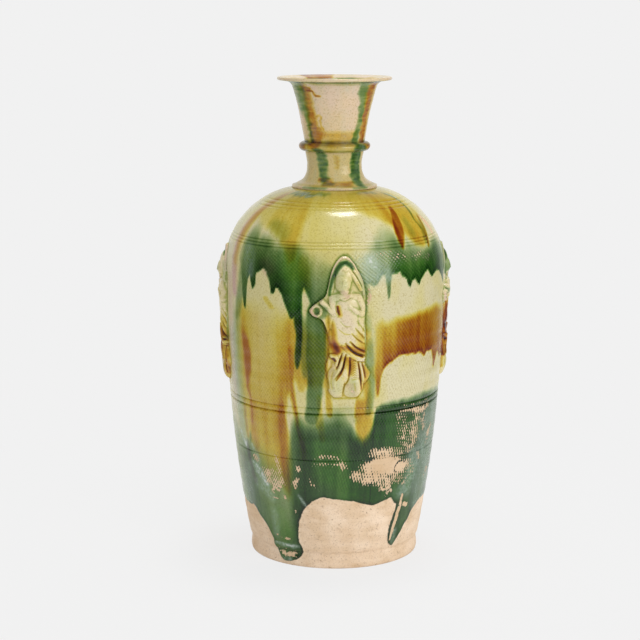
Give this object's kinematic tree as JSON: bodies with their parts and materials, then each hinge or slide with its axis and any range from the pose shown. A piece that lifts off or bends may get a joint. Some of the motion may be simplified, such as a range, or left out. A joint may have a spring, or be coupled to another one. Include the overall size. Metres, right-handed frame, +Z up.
{
  "type": "bottle vase",
  "caption": "Tall truncated-ovoid bottle vase in three-colour running glaze, with a ringed neck, flared mouth and applied moulded figures round the belly.",
  "frame": {"origin": "centre of the foot on the surface it stands on", "axes": "+Z up along the vase's axis; -Y towards the front figure"},
  "size_m": [0.1866, 0.1866, 0.38],
  "materials": {
    "biscuit_body": "buff earthenware: matt bare clay at the foot, running lead glaze above",
    "glazed_body": "glossy lead glaze in straw, green and amber over impressed cord texture",
    "glazed_neck": "glossy lead glaze in cream, green and amber streaks",
    "moulded_figures": "glossy pale straw glaze with amber pooled in the folds"
  },
  "bodies": {
    "root": {"lower_body": "biscuit_body", "upper_body": "glazed_body", "neck": "glazed_neck", "neck_ring": "glazed_neck", "mouth": "glazed_neck", "figure_front": "moulded_figures", "figure_right": "moulded_figures", "figure_back": "moulded_figures", "figure_left": "moulded_figures"}
  },
  "joints": []
}
